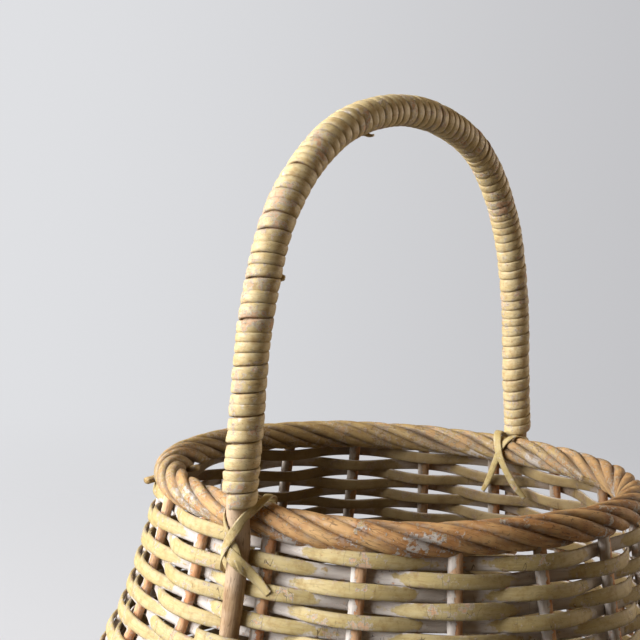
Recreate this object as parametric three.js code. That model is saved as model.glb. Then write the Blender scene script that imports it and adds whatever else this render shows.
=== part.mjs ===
// A round wicker easter basket: a belly of plain-woven peels on split stakes, a rope-like border at the
// mouth, and a fixed arched handle of one bent rod wrapped in cane and lashed to the border at both feet.
// Units are millimetres, +Z is up, the basket stands on z = 0 and the handle's feet lie on the X axis.
import * as THREE from "three";

// Stakes and the peels woven round them; the first stake stands a little past each foot of the handle.
const STAKES = 18;
const STAKE_TURN = THREE.MathUtils.degToRad(4.6);
const STAKE_R = 2.8;
const GAP = 0.35;
const PEEL_T = 2;
const PEEL_H = 5.9;
const FOOT_PEEL_H = 5.4;
const WALL_ROWS = 22;
const TOP_MARGIN = 3.4;
const BASE_ROWS = 8;
const BASE_PITCH = 7.2;
const TIE_RADII = [40, 48.5];
const TIE_SWING = THREE.MathUtils.degToRad(6.1);
const CROWN_SHARE = 0.1;

// Body outline, taken along the middle of the stakes.
const BELLY_R = 149;
const BELLY_Z = 36;
const BELLY_PULL = 20.7;
const NECK_R = 122.6;
const NECK_Z = 130.5;
const NECK_LEAN = 16.7;
const NECK_PULL = 91.4;
const DOME = 6;
const HUB_R = 36;

// The crossed bundles of stakes at the middle of the base.
const BUNDLE_PITCH = 6;
const LONG_BUNDLE = { name: "long_stake", count: 5, reach: 18, heading: STAKE_TURN, layer: 1 };
const CROSS_BUNDLE = {
  name: "cross_stake",
  count: 4,
  reach: 21,
  heading: STAKE_TURN + Math.PI / 2,
  layer: -1,
};

// Rolled border at the mouth.
const RIM_R = 120;
const RIM_Z = 139;
const RIM_STRANDS = 6;
const RIM_TURNS = 7;
const STRAND_R = 2.45;
const LAY_R = 5.55;
const STEPS_PER_TURN = 8;

// Handle: a bent rod, its cane wrap and the strips that lash each foot to the border.
const CORE_R = 5.6;
const WRAP_R = 7.9;
const WRAP_BORE = CORE_R + GAP;
const FOOT_X = RIM_R + LAY_R + STRAND_R + GAP + CORE_R;
const FOOT_ROW = 9.5;
const FIRST_ROW_OVER_FOOT = 7;
const FOOT_OFFSET = 9.1;
const FOOT_HALF_ANGLE = THREE.MathUtils.degToRad(2.6);
const WRAP_START_Z = RIM_Z + LAY_R + STRAND_R;
const ARCH_KNOTS = [
  [-FOOT_X, WRAP_START_Z],
  [-132, 183],
  [-128, 233],
  [-113, 279],
  [-78, 313],
  [-31, 328],
  [18, 327],
  [64, 311],
  [98, 276],
  [117, 230],
  [126, 181],
  [FOOT_X - 0.6, WRAP_START_Z],
];
const ARCH_STEPS = 32;

// A lashing strip: its section, where it ends on the weave, where it passes over the border, and how far
// the second strip of a foot stands off the first.
const STRIP_W = 5;
const STRIP_T = 1.2;
const STRIP_END_ASIDE = 14;
const STRIP_END_ROW = 2;
const STRIP_CROSS_Z = 134;
const STRIP_RISE = 6;
const STRIP_BEND_ASIDE = 8;
const STRIP_SAG = 0.8;
const STRIP_CLEARANCE = 4.5;
const STRIP_ASIDE = 11.6;
const STRIP_TURNS = [0.15, 0.35, 0.55, 0.8, 1.02].map((share) => share * Math.PI);
const STRIP_INNER_CROSS_ROW = 2;
const STRIP_INNER_END_ROW = 3.5;
const STRIP_INNER_ASIDE = 12;
const STRIP_LIFT = 2.4;
const STRIP_STEPS = 26;

// What follows from them.
const STEP = (2 * Math.PI) / STAKES;
const OFFSET = STAKE_R + GAP + PEEL_T / 2;
const SPOKE_Z = OFFSET + PEEL_T / 2;
const CORNER_R = BELLY_Z - SPOKE_Z;
const BASE_R = BELLY_R - CORNER_R;
const LAYER_Z = STAKE_R + GAP / 2;

const MATERIALS = {
  peel: surface(0xb9ad74, 0.8),
  stake: surface(0xc9a07a, 0.75),
  rim: surface(0xd9b388, 0.7),
  core: surface(0xb09070, 0.75),
  wrap: surface(0xbfa56c, 0.6),
  strip: surface(0xb8ab72, 0.65),
};

function surface(color, roughness) {
  return new THREE.MeshStandardMaterial({ color, roughness, metalness: 0 });
}

function polar(radius, angle, z) {
  return new THREE.Vector3(radius * Math.cos(angle), radius * Math.sin(angle), z);
}

// One closed skin over a run of outlines that all have the same number of corners.
function loft(outlines, closed) {
  const corners = outlines[0].length;
  const spans = closed ? outlines.length : outlines.length - 1;
  const index = [];
  for (let i = 0; i < spans; i++) {
    const here = i * corners;
    const next = ((i + 1) % outlines.length) * corners;
    for (let j = 0; j < corners; j++) {
      const k = (j + 1) % corners;
      index.push(here + j, here + k, next + k);
      index.push(here + j, next + k, next + j);
    }
  }
  if (!closed) {
    const last = (outlines.length - 1) * corners;
    for (let j = 1; j < corners - 1; j++) {
      index.push(0, j + 1, j);
      index.push(last, last + j, last + j + 1);
    }
  }
  const geometry = new THREE.BufferGeometry().setFromPoints(outlines.flat());
  geometry.setIndex(index);
  geometry.computeVertexNormals();
  return geometry;
}

// A round outline with flat sides, in the plane of two unit vectors.
function roundOutline(centre, across, up, radius, sides) {
  return Array.from({ length: sides }, (_, i) => {
    const turn = (2 * Math.PI * i) / sides;
    return centre
      .clone()
      .addScaledVector(across, radius * Math.cos(turn))
      .addScaledVector(up, radius * Math.sin(turn));
  });
}

// A rectangle centred on a point: width along one unit vector, thickness along the other.
function flatOutline(centre, across, up, width, thickness) {
  const corners = [
    [0.5, -0.5],
    [0.5, 0.5],
    [-0.5, 0.5],
    [-0.5, -0.5],
  ];
  return corners.map(([a, u]) =>
    centre
      .clone()
      .addScaledVector(across, a * width)
      .addScaledVector(up, u * thickness),
  );
}

function tangentsOf(points) {
  return points.map((_, i) => {
    const before = points[Math.max(i - 1, 0)];
    const after = points[Math.min(i + 1, points.length - 1)];
    return after.clone().sub(before).normalize();
  });
}

// Unit vectors square to the run, each turned no more than it must be from the one before.
function normalsOf(points, tangents) {
  let normal = new THREE.Vector3(points[0].x, points[0].y, 0).normalize();
  return tangents.map((tangent) => {
    normal = normal.clone().addScaledVector(tangent, -normal.dot(tangent)).normalize();
    return normal;
  });
}

function roundOutlines(points, radius, sides) {
  const tangents = tangentsOf(points);
  const normals = normalsOf(points, tangents);
  return points.map((point, i) => {
    const side = tangents[i].clone().cross(normals[i]);
    return roundOutline(point, normals[i], side, radius, sides);
  });
}

function point2(radius, z) {
  return new THREE.Vector2(radius, z);
}

// The domed base in (radius, height), level at the hub and at its edge.
function domeCurve() {
  const half = (BASE_R - HUB_R) / 2;
  return new THREE.CubicBezierCurve(
    point2(HUB_R, SPOKE_Z + DOME),
    point2(HUB_R + half, SPOKE_Z + DOME),
    point2(BASE_R - half, SPOKE_Z),
    point2(BASE_R, SPOKE_Z),
  );
}

// The wall from the belly, where it is upright, to the neck under the border.
function wallCurve() {
  return new THREE.CubicBezierCurve(
    point2(BELLY_R, BELLY_Z),
    point2(BELLY_R, BELLY_Z + BELLY_PULL),
    point2(NECK_R + NECK_LEAN, NECK_Z - NECK_PULL),
    point2(NECK_R, NECK_Z),
  );
}

const DOME_CURVE = domeCurve();
const CORNER_CURVE = new THREE.EllipseCurve(BASE_R, BELLY_Z, CORNER_R, CORNER_R, -Math.PI / 2, 0);
const WALL_CURVE = wallCurve();
const PROFILE = new THREE.CurvePath();
PROFILE.curves.push(DOME_CURVE, CORNER_CURVE, WALL_CURVE);
const BASE_LENGTH = DOME_CURVE.getLength();
const WALL_PITCH = (PROFILE.getLength() - BASE_LENGTH - TOP_MARGIN) / WALL_ROWS;

// Place on the profile at a distance from the hub: the point, the way along it and the way out of the body.
function placeAt(distance) {
  const share = distance / PROFILE.getLength();
  const point = PROFILE.getPoint(share);
  const along = PROFILE.getTangent(share);
  return { radius: point.x, z: point.y, along, out: new THREE.Vector2(along.y, -along.x) };
}

function wallPlace(row) {
  return placeAt(BASE_LENGTH + row * WALL_PITCH);
}

// A peel's rectangle at one angle round the ring, moved out of the body by an offset.
function peelOutline(place, { angle, offset }, height) {
  const centre = polar(place.radius + offset * place.out.x, angle, place.z + offset * place.out.y);
  const along = polar(place.along.x, angle, place.along.y);
  const out = polar(place.out.x, angle, place.out.y);
  return flatOutline(centre, along, out, height, PEEL_T);
}

function peelRing(place, crossings, height = PEEL_H) {
  const inOrder = [...crossings].sort((a, b) => a.angle - b.angle);
  return loft(
    inOrder.map((crossing) => peelOutline(place, crossing, height)),
    true,
  );
}

function sideOf(stake, row) {
  return (stake + row) % 2 === 0 ? OFFSET : -OFFSET;
}

// Over one stake and under the next, with a sharp crown on each stake.
function plainWeave(row) {
  return Array.from({ length: STAKES }, (_, stake) => ({
    angle: stake * STEP + STAKE_TURN,
    offset: sideOf(stake, row),
  }));
}

// The same weave with a flat crown on each stake.
function flatCrowned(crossings) {
  return crossings.flatMap(({ angle, offset }) => [
    { angle: angle - CROWN_SHARE * STEP, offset },
    { angle: angle + CROWN_SHARE * STEP, offset },
  ]);
}

// A row that runs outside the stake beside a foot of the handle passes over that foot as well.
function overFeet(row) {
  const offset = FOOT_OFFSET + CORE_R + GAP + PEEL_T / 2;
  const crossings = flatCrowned(plainWeave(row));
  return [0, STAKES / 2]
    .filter((stake) => sideOf(stake, row) > 0)
    .reduce((woven, stake) => {
      const foot = stake * STEP;
      const clear = woven.filter(({ angle }) => Math.abs(angle - foot) > STAKE_TURN);
      const over = [-FOOT_HALF_ANGLE, FOOT_HALF_ANGLE].map((turn) => ({ angle: foot + turn, offset }));
      return [...clear, ...over];
    }, crossings);
}

// A tie passes over one fanned bundle and under the other, four crossings in all.
function tieWeave(sign) {
  const crossings = [];
  for (const [heading, count, way] of [
    [LONG_BUNDLE.heading, LONG_BUNDLE.count, sign],
    [CROSS_BUNDLE.heading, CROSS_BUNDLE.count, -sign],
    [LONG_BUNDLE.heading + Math.PI, LONG_BUNDLE.count, sign],
    [CROSS_BUNDLE.heading + Math.PI, CROSS_BUNDLE.count, -sign],
  ]) {
    const half = (count * STEP) / 2 - TIE_SWING;
    for (let i = 0; i < count; i++) {
      const turn = half * ((2 * i) / (count - 1) - 1);
      crossings.push({ angle: heading + turn, offset: way * OFFSET });
    }
  }
  return crossings;
}

function baseWeavers() {
  const rings = [];
  TIE_RADII.forEach((radius, i) => {
    const place = placeAt(radius - HUB_R);
    rings.push([`base_tie_${i + 1}`, peelRing(place, tieWeave(i % 2 === 0 ? 1 : -1))]);
  });
  for (let row = 1; row <= BASE_ROWS; row++) {
    const place = placeAt(BASE_LENGTH - row * BASE_PITCH);
    rings.push([`base_weaver_${row}`, peelRing(place, plainWeave(row))]);
  }
  return rings;
}

// Row 0 rests on the ground with flat crowns; the lowest rows at the handle's feet bulge out over them.
function wallWeavers() {
  const resting = peelRing(wallPlace(0), flatCrowned(plainWeave(0)), FOOT_PEEL_H);
  const rings = [["foot_weaver", resting]];
  for (let row = 1; row <= WALL_ROWS; row++) {
    const fromTop = WALL_ROWS - row;
    const bulges = fromTop >= FIRST_ROW_OVER_FOOT && fromTop < FOOT_ROW;
    const crossings = bulges ? overFeet(row) : plainWeave(row);
    rings.push([`wall_weaver_${row}`, peelRing(wallPlace(row), crossings)]);
  }
  return rings;
}

// One half of a stake: out from the hub, along the base at its own angle, and up the wall.
function stakeHalf(start, angle) {
  const stations = [
    ...DOME_CURVE.getPoints(4),
    ...CORNER_CURVE.getPoints(6).slice(1),
    ...WALL_CURVE.getPoints(6).slice(1),
  ];
  return [start, ...stations.map((point) => polar(point.x, angle, point.y))];
}

// A bundle of parallel rods that fan out to their own stakes at both ends.
function stakeBundle({ name, count, reach, heading, layer }) {
  const axis = new THREE.Vector3(0, 0, 1);
  const level = SPOKE_Z + DOME + layer * LAYER_Z;
  return Array.from({ length: count }, (_, i) => {
    const place = i - (count - 1) / 2;
    const near = stakeHalf(new THREE.Vector3(reach, place * BUNDLE_PITCH, level), place * STEP);
    const far = near.map((point) => new THREE.Vector3(-point.x, point.y, point.z));
    const points = [...far.reverse(), ...near].map((point) => point.applyAxisAngle(axis, heading));
    return [`${name}_${i + 1}`, loft(roundOutlines(points, STAKE_R, 6), false)];
  });
}

// A border strand winds seven times round the mouth's circle and closes on itself.
function rimStrand(number) {
  const stations = RIM_TURNS * STEPS_PER_TURN;
  const pointAt = (i, radius) => {
    const angle = (2 * Math.PI * i) / stations;
    const lay = (2 * Math.PI * number) / RIM_STRANDS - RIM_TURNS * angle;
    return polar(RIM_R + radius * Math.cos(lay), angle, RIM_Z + radius * Math.sin(lay));
  };
  const outlines = Array.from({ length: stations }, (_, i) => {
    const centre = pointAt(i, LAY_R);
    const tangent = pointAt(i + 1, LAY_R).sub(pointAt(i - 1, LAY_R)).normalize();
    const out = pointAt(i, LAY_R + 1).sub(centre);
    return roundOutline(centre, out, tangent.cross(out).normalize(), STRAND_R, 6);
  });
  return loft(outlines, true);
}

function archPoints() {
  const knots = ARCH_KNOTS.map(([x, z]) => new THREE.Vector3(x, 0, z));
  return new THREE.CatmullRomCurve3(knots).getSpacedPoints(ARCH_STEPS);
}

// The foot runs down outside the wall, from the top row to the last row it is tucked behind.
function footPoints(side) {
  const rows = [0, 2, 4, 6, 8, FOOT_ROW].map((fromTop) => wallPlace(WALL_ROWS - fromTop));
  const points = rows.map(
    ({ radius, z, out }) =>
      new THREE.Vector3(side * (radius + FOOT_OFFSET * out.x), 0, z + FOOT_OFFSET * out.y),
  );
  return [new THREE.Vector3(side * FOOT_X, 0, RIM_Z), ...points];
}

function handleCore() {
  const points = [...footPoints(-1).reverse(), ...archPoints(), ...footPoints(1)];
  return loft(roundOutlines(points, CORE_R, 8), false);
}

// A sleeve: the skin runs out along the outside, over the end and back along the bore.
function handleWrap() {
  const points = archPoints();
  const outer = roundOutlines(points, WRAP_R, 8);
  const bore = roundOutlines(points, WRAP_BORE, 8);
  return loft([...outer, ...bore.reverse()], true);
}

// Where a lashing strip runs at one foot, as [sideways, radial, height, normal angle] knots: up across the
// rod, over the border and down again inside. Lift keeps the second strip clear of the first.
function stripKnots(lift) {
  const hold = CORE_R + GAP + STRIP_T / 2 + STRIP_SAG;
  const round = LAY_R + STRAND_R + 1.5 * GAP + STRIP_T / 2;
  const rim = Math.sqrt(RIM_R ** 2 - STRIP_ASIDE ** 2);
  const end = wallPlace(WALL_ROWS - STRIP_END_ROW);
  const innerCross = wallPlace(WALL_ROWS - STRIP_INNER_CROSS_ROW);
  const innerEnd = wallPlace(WALL_ROWS - STRIP_INNER_END_ROW);
  const skin = OFFSET + PEEL_T / 2 + 2 * GAP + STRIP_T;
  return [
    [-STRIP_END_ASIDE, end.radius + skin, end.z, 0],
    [-STRIP_BEND_ASIDE, FOOT_X + STRIP_CLEARANCE + lift, STRIP_CROSS_Z - STRIP_RISE, 0],
    [0, FOOT_X + hold + lift, STRIP_CROSS_Z, 0],
    [STRIP_BEND_ASIDE, FOOT_X + STRIP_CLEARANCE + lift, STRIP_CROSS_Z + STRIP_RISE, 0],
    ...STRIP_TURNS.map((turn) => [
      STRIP_ASIDE,
      rim + round * Math.cos(turn),
      RIM_Z + round * Math.sin(turn),
      turn,
    ]),
    [0, innerCross.radius - skin - lift, innerCross.z, Math.PI],
    [-STRIP_INNER_ASIDE, innerEnd.radius - skin, innerEnd.z, Math.PI],
  ];
}

// side picks the foot on -X or +X, hand mirrors the strip so that two of them make an X.
function lashingStrip(side, hand, lift) {
  const knots = stripKnots(lift);
  const places = knots.map(([aside, radial, z]) => new THREE.Vector3(side * radial, hand * aside, z));
  const normals = knots.map(
    ([, , , turn]) => new THREE.Vector3(side * Math.cos(turn), 0, Math.sin(turn)),
  );
  const run = new THREE.CatmullRomCurve3(places);
  const lean = new THREE.CatmullRomCurve3(normals);
  const points = run.getPoints(STRIP_STEPS);
  const tangents = tangentsOf(points);
  const outlines = points.map((point, i) => {
    const normal = lean.getPoint(i / STRIP_STEPS).normalize();
    const across = tangents[i].clone().cross(normal).normalize();
    const square = across.clone().cross(tangents[i]);
    return flatOutline(point, square, across, STRIP_T, STRIP_W);
  });
  return loft(outlines, false);
}

function lashings() {
  return [
    ["left_lashing_under", lashingStrip(-1, 1, 0)],
    ["left_lashing_over", lashingStrip(-1, -1, STRIP_LIFT)],
    ["right_lashing_under", lashingStrip(1, 1, 0)],
    ["right_lashing_over", lashingStrip(1, -1, STRIP_LIFT)],
  ];
}

function rimStrands() {
  return Array.from({ length: RIM_STRANDS }, (_, i) => [`rim_strand_${i + 1}`, rimStrand(i)]);
}

function addAll(group, material, pieces) {
  for (const [name, geometry] of pieces) {
    const mesh = new THREE.Mesh(geometry, material);
    mesh.name = name;
    group.add(mesh);
  }
}

const basket = new THREE.Group();
addAll(basket, MATERIALS.stake, [...stakeBundle(LONG_BUNDLE), ...stakeBundle(CROSS_BUNDLE)]);
addAll(basket, MATERIALS.peel, [...baseWeavers(), ...wallWeavers()]);
addAll(basket, MATERIALS.rim, rimStrands());
addAll(basket, MATERIALS.core, [["handle_core", handleCore()]]);
addAll(basket, MATERIALS.wrap, [["handle_wrap", handleWrap()]]);
addAll(basket, MATERIALS.strip, lashings());

export default basket;
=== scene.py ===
"""The looks of a round wicker easter basket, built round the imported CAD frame. Lengths are in metres."""

import math
from functools import partial

import bpy
import numpy as np
from mathutils import Matrix, Vector


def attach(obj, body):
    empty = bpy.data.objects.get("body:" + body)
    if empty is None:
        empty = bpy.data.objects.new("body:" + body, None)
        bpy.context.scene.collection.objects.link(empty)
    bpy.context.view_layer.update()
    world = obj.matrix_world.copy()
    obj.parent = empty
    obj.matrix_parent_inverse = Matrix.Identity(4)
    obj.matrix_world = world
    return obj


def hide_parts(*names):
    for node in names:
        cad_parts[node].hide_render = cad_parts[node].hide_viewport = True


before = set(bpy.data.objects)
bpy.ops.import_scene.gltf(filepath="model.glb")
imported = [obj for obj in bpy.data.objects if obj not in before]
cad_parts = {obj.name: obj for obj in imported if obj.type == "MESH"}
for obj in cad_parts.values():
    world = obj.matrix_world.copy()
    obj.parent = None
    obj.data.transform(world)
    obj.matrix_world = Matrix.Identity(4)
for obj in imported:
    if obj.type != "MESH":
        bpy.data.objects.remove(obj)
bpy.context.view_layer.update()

MM = 0.001
rng = np.random.default_rng(11)

# Driving dimensions of the weave, the same as the CAD part's.
STAKES = 18
STEP = math.tau / STAKES
STAKE_TURN = math.radians(4.6)
OFFSET = 4.15 * MM
SPOKE_Z = 5.15 * MM
PEEL_T = 2.3 * MM
PEEL_H = 6.75 * MM
FOOT_PEEL_H = 5.4 * MM
TOP_ROW_RISE = 0.8 * MM
WALL_ROWS = 22
TOP_MARGIN = 3.4 * MM
BASE_ROWS = 8
BASE_PITCH = 7.2 * MM
TIE_RADII = (40 * MM, 48.5 * MM)
TIE_TURN = 2.5 * STEP
TIE_SWING = math.radians(6.1)
STAKE_WIDTH = 3.4 * MM
STAKE_DEPTH = 2.5 * MM
HUB_ROD = 2.7 * MM

# Body outline along the middle of the stakes: the belly is its widest place, the neck its top.
BELLY_R = 149 * MM
BELLY_Z = 36 * MM
BELLY_PULL = 20.7 * MM
NECK_R = 122.6 * MM
NECK_Z = 130.5 * MM
NECK_LEAN = 16.7 * MM
NECK_PULL = 91.4 * MM
DOME = 6 * MM
HUB_R = 36 * MM
CORNER_R = BELLY_Z - SPOKE_Z
BASE_R = BELLY_R - CORNER_R

# Bundles of stakes at the middle of the base: name, count, reach of the straight middle, heading, layer.
LONG_BUNDLE = ("long_stake", 5, 18 * MM, STAKE_TURN, 1)
CROSS_BUNDLE = ("cross_stake", 4, 21 * MM, STAKE_TURN + math.pi / 2, -1)
BUNDLE_PITCH = 6 * MM
LAYER_Z = 2.975 * MM

# Border and handle.
RIM_R = 120 * MM
RIM_Z = 139 * MM
RIM_STRANDS = 6
RIM_TURNS = 7
LAY_R = 5.35 * MM
STRAND_R = 2.85 * MM
CORE_R = 5.6 * MM
FOOT_X = 133.95 * MM
FOOT_OFFSET = 9.1 * MM
FOOT_ROW = 9.5
FIRST_ROW_OVER_FOOT = 7
FOOT_GRIP = math.radians(2.6)
FOOT_LEAN = 5.5 * MM
FOOT_SHARE = 0.9
FOOT_TIP_SHARE = 0.7
WRAP_START_Z = RIM_Z + 9 * MM
CANE_T = 2.3 * MM
CANE_PITCH = 5.9 * MM

# The arch's axis over the border: x and height in millimetres.
ARCH_KNOTS = (
    (-132, 183),
    (-128, 233),
    (-113, 279),
    (-78, 313),
    (-31, 328),
    (18, 327),
    (64, 311),
    (98, 276),
    (117, 230),
    (126, 181),
)


# ---------------------------------------------------------------- curves and meshes

# How far a section is stretched off its run for the two patterns that follow the grain.
GRAIN_STRETCH = 9.0
SPINE_STRETCH = 0.25


def unit(vectors):
    """The same vectors, each one long."""
    return vectors / np.linalg.norm(vectors, axis=-1, keepdims=True)


def smoothstep(low, high, value):
    """0 up to low, 1 from high on, and a smooth rise between."""
    t = np.clip((value - low) / (high - low), 0, 1)
    return t * t * (3 - 2 * t)


def bezier(p0, p1, p2, p3, count):
    """Points along a cubic Bezier curve."""
    t = np.linspace(0, 1, count)[:, None]
    a, b, c, d = (np.array(p, float) for p in (p0, p1, p2, p3))
    return (1 - t) ** 3 * a + 3 * (1 - t) ** 2 * t * b + 3 * (1 - t) * t * t * c + t**3 * d


def run_lengths(points):
    """How far along the run each point lies."""
    return np.concatenate([[0], np.cumsum(np.linalg.norm(np.diff(points, axis=0), axis=1))])


def spline(knots, count):
    """A smooth run of evenly spaced points through the knots (Catmull-Rom by chord length)."""
    knots = np.array(knots, float)
    padded = np.vstack([2 * knots[0] - knots[1], knots, 2 * knots[-1] - knots[-2]])
    gaps = np.sqrt(np.linalg.norm(np.diff(padded[:, :3], axis=0), axis=1))
    at = np.concatenate([[0], np.cumsum(np.maximum(gaps, 1e-6))])
    fine = []
    for i in range(1, len(padded) - 2):
        p0, p1, p2, p3 = padded[i - 1 : i + 3]
        t0, t1, t2, t3 = at[i - 1 : i + 3]
        t = np.linspace(t1, t2, 24, endpoint=False)[:, None]
        a1 = (t1 - t) / (t1 - t0) * p0 + (t - t0) / (t1 - t0) * p1
        a2 = (t2 - t) / (t2 - t1) * p1 + (t - t1) / (t2 - t1) * p2
        a3 = (t3 - t) / (t3 - t2) * p2 + (t - t2) / (t3 - t2) * p3
        b1 = (t2 - t) / (t2 - t0) * a1 + (t - t0) / (t2 - t0) * a2
        b2 = (t3 - t) / (t3 - t1) * a2 + (t - t1) / (t3 - t1) * a3
        fine.append((t2 - t) / (t2 - t1) * b1 + (t - t1) / (t2 - t1) * b2)
    fine = np.vstack([*fine, knots[-1:]])
    along = run_lengths(fine[:, :3])
    even = np.linspace(0, along[-1], count)
    return np.stack([np.interp(even, along, column) for column in fine.T], axis=1)


def tangents_of(points, closed=False):
    """The run's unit direction at each of its points."""
    if closed:
        return unit(np.roll(points, -1, axis=0) - np.roll(points, 1, axis=0))
    return unit(np.gradient(points, axis=0))


def ring_angles(count):
    return np.linspace(0, math.tau, count, endpoint=False)


def ring_wobble(theta, waves, size):
    """A smooth closed wave round a ring, made of a few random harmonics."""
    total = np.zeros_like(theta)
    for wave in waves:
        total += rng.normal() * np.cos(wave * theta + rng.uniform(0, math.tau))
    return size * total / math.sqrt(len(waves))


def run_wobble(along, wavelength, size):
    """A smooth open wave along a run, from random knots about one wavelength apart."""
    count = max(int(along[-1] / wavelength) + 3, 4)
    knots = rng.normal(size=count)
    at = along / along[-1] * (count - 3) + 1
    low = at.astype(int)
    blend = at - low
    blend = blend * blend * (3 - 2 * blend)
    return size * (knots[low] * (1 - blend) + knots[np.minimum(low + 1, count - 1)] * blend)


def grid_faces(stations, corners, closed):
    """Quads over a grid of points (stations x corners), and a cap at both ends of an open run."""
    rows = np.arange(stations if closed else stations - 1)[:, None]
    columns = np.arange(corners)[None, :]
    next_row = (rows + 1) % stations
    next_column = (columns + 1) % corners
    quads = np.stack(
        [
            rows * corners + columns,
            rows * corners + next_column,
            next_row * corners + next_column,
            next_row * corners + columns,
        ],
        axis=-1,
    )
    faces = quads.reshape(-1, 4).tolist()
    if not closed:
        faces.append(list(range(corners))[::-1])
        faces.append(list(range((stations - 1) * corners, stations * corners)))
    return faces


def skin(name, points, centre, closed, values):
    """A mesh over a grid of points (stations x corners), with its grain and the values per point.

    The values are what the materials read: cover is how well the paint reached a point (about -1 to 1),
    edge how far across its rod or peel it lies (-1 to 1), the dust value how far dust and painted shade
    darken it and kept how unworn (both 0 to 1). A value that is left out reads as 0.
    """
    stations, corners = points.shape[:2]
    faces = grid_faces(stations, corners, closed)
    mesh = bpy.data.meshes.new(name)
    mesh.from_pydata(points.reshape(-1, 3).tolist(), [], faces)
    mesh.polygons.foreach_set("use_smooth", np.ones(len(faces), bool))
    off_run = points - centre[:, None, :]
    grain = centre[:, None, :] + GRAIN_STRETCH * off_run + rng.uniform(-3, 3, size=3)
    spine = centre[:, None, :] + SPINE_STRETCH * off_run
    for key, pattern in (("grain", grain), ("spine", spine)):
        attribute = mesh.attributes.new(key, "FLOAT_VECTOR", "POINT")
        attribute.data.foreach_set("vector", pattern.astype(np.float32).ravel())
    for key, value in values.items():
        attribute = mesh.attributes.new(key, "FLOAT", "POINT")
        full = np.broadcast_to(value, (stations, corners))
        attribute.data.foreach_set("value", full.astype(np.float32).ravel())
    mesh.update()
    piece = bpy.data.objects.new(name, mesh)
    bpy.context.scene.collection.objects.link(piece)
    return piece


def outline(count, squareness, flat_back=1.0):
    """A closed section as (across, out) pairs from -1 to 1; flat_back under 1 flattens the inner side."""
    turn = ring_angles(count)
    across = np.sign(np.cos(turn)) * np.abs(np.cos(turn)) ** squareness
    out = np.sign(np.sin(turn)) * np.abs(np.sin(turn)) ** squareness
    return across, np.where(out < 0, out * flat_back, out)


def sweep(name, centre, across_way, out_way, half_width, half_depth, section, closed, values):
    """A section swept along the centre points; width and depth may change along the run."""
    across, out = section
    half_width = np.broadcast_to(half_width, len(centre))[:, None, None]
    half_depth = np.broadcast_to(half_depth, len(centre))[:, None, None]
    points = (
        centre[:, None, :]
        + half_width * across[None, :, None] * across_way[:, None, :]
        + half_depth * out[None, :, None] * out_way[:, None, :]
    )
    return skin(name, points, centre, closed, values)


def finish_piece(piece, slot, material, *nodes):
    """Hands a piece to the frame, in place of its CAD nodes when it has any."""
    piece.data.materials.append(material)
    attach(piece, "root")
    if nodes:
        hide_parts(*nodes)
    return piece


# ---------------------------------------------------------------- body outline

def dome_curve(count):
    """The base from the hub out, domed up in its middle, as (radius, height)."""
    half = (BASE_R - HUB_R) / 2
    top = SPOKE_Z + DOME
    return bezier((HUB_R, top), (HUB_R + half, top), (BASE_R - half, SPOKE_Z), (BASE_R, SPOKE_Z), count)


def corner_curve(count):
    """The round foot of the wall, where the base turns up."""
    turn = np.linspace(-math.pi / 2, 0, count)
    return np.stack([BASE_R + CORNER_R * np.cos(turn), BELLY_Z + CORNER_R * np.sin(turn)], axis=1)


def wall_curve(count):
    """The wall from its widest place in to the neck under the border."""
    return bezier(
        (BELLY_R, BELLY_Z),
        (BELLY_R, BELLY_Z + BELLY_PULL),
        (NECK_R + NECK_LEAN, NECK_Z - NECK_PULL),
        (NECK_R, NECK_Z),
        count,
    )


PROFILE = np.vstack([dome_curve(200)[:-1], corner_curve(200)[:-1], wall_curve(300)])
PROFILE_AT = run_lengths(PROFILE)
PROFILE_WAY = unit(np.gradient(PROFILE, PROFILE_AT, axis=0))
BASE_LENGTH = run_lengths(dome_curve(200))[-1]
WALL_PITCH = (PROFILE_AT[-1] - BASE_LENGTH - TOP_MARGIN) / WALL_ROWS


def place_at(distance):
    """The profile's (radius, height) and its direction at a distance from the hub."""
    point = [np.interp(distance, PROFILE_AT, column) for column in PROFILE.T]
    way = [np.interp(distance, PROFILE_AT, column) for column in PROFILE_WAY.T]
    return np.array(point), np.array(way)


def wall_distance(row):
    """How far along the profile a row of the wall lies; row 0 is the foot's."""
    return BASE_LENGTH + row * WALL_PITCH


def radial(theta):
    return np.stack([np.cos(theta), np.sin(theta), np.zeros_like(theta)], axis=-1)


def lift(flat, theta):
    """Turns (radius, height) pairs into space at each angle."""
    up = np.array([0, 0, 1.0])
    return flat[..., 0:1] * radial(theta) + flat[..., 1:2] * up


# ---------------------------------------------------------------- weavers

SECTIONS_PER_STAKE = 22
PEEL_SECTION = outline(14, 0.62, flat_back=0.7)
CROSSING_LIFT = 0.5 * MM
REACH_BEFORE_FOOT = STEP * 0.55
REACH_AFTER_FOOT = STEP * 0.5
PEEL_SLIDE = 0.3 * MM
PEEL_TILT = math.radians(5)
PEEL_SWELL = 0.05


def stake_phase(theta, row):
    """+1 where the row passes outside a stake, -1 where it passes inside."""
    sign = 1 if row % 2 == 0 else -1
    return sign * np.cos(math.pi * (theta - STAKE_TURN) / STEP)


def tie_phase(theta, sign):
    """sign at the long stakes and -sign at the cross ones, with a quick swing between them."""
    from_axis = np.abs((theta - STAKE_TURN + math.pi / 2) % math.pi - math.pi / 2)
    return sign * np.sin(math.pi / 2 * np.clip((TIE_TURN - from_axis) / TIE_SWING, -1, 1))


def over_foot(theta, row, offset):
    """Pushes a row out over the foot that stands beside a stake it passes outside."""
    foot = 0 if row % 2 == 0 else math.pi
    from_foot = (theta - foot + math.pi) % math.tau - math.pi
    reach = np.where(from_foot < 0, REACH_BEFORE_FOOT, REACH_AFTER_FOOT)
    share = 1 - smoothstep(FOOT_GRIP * 0.8, reach, np.abs(from_foot))
    cover = FOOT_OFFSET + CORE_R + PEEL_T / 2
    return offset * (1 - share) + cover * share


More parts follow.
